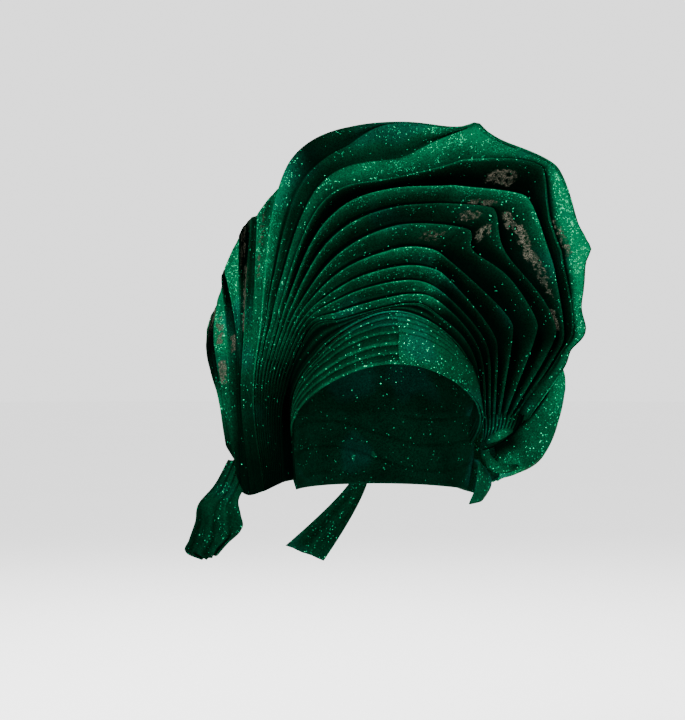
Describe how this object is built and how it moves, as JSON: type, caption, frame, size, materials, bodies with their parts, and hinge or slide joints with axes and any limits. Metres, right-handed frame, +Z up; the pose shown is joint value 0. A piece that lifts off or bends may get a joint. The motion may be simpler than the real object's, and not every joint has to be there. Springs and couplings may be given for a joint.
{
  "type": "tied gele head tie",
  "caption": "Head tie of stiff cloth, tied with a stepped forehead band, a tall pleated fan, a side wing, a side pouch and a knot with tails at the nape.",
  "frame": {"origin": "middle of the head's hollow at brow level, where the head tie sits on the head", "axes": "+Z up along the head, -Y the way the face looks, +X to the wearer's left, where the pouch is"},
  "size_m": [0.3259, 0.2113, 0.3713],
  "materials": {
    "bright_cloth": "stiff cloth with a metallic thread",
    "shaded_cloth": "stiff cloth with a metallic thread"
  },
  "bodies": {
    "root": {"forehead_band": "bright_cloth", "pleated_fan": "bright_cloth", "left_wing": "bright_cloth", "side_pouch": "bright_cloth", "crown_wrap": "shaded_cloth", "nape_wrap": "shaded_cloth", "lower_twist": "bright_cloth", "upper_twist": "bright_cloth", "right_ear_fold": "bright_cloth", "nape_knot": "bright_cloth", "left_tie": "shaded_cloth", "side_tail": "bright_cloth", "back_tail": "bright_cloth"}
  },
  "joints": []
}
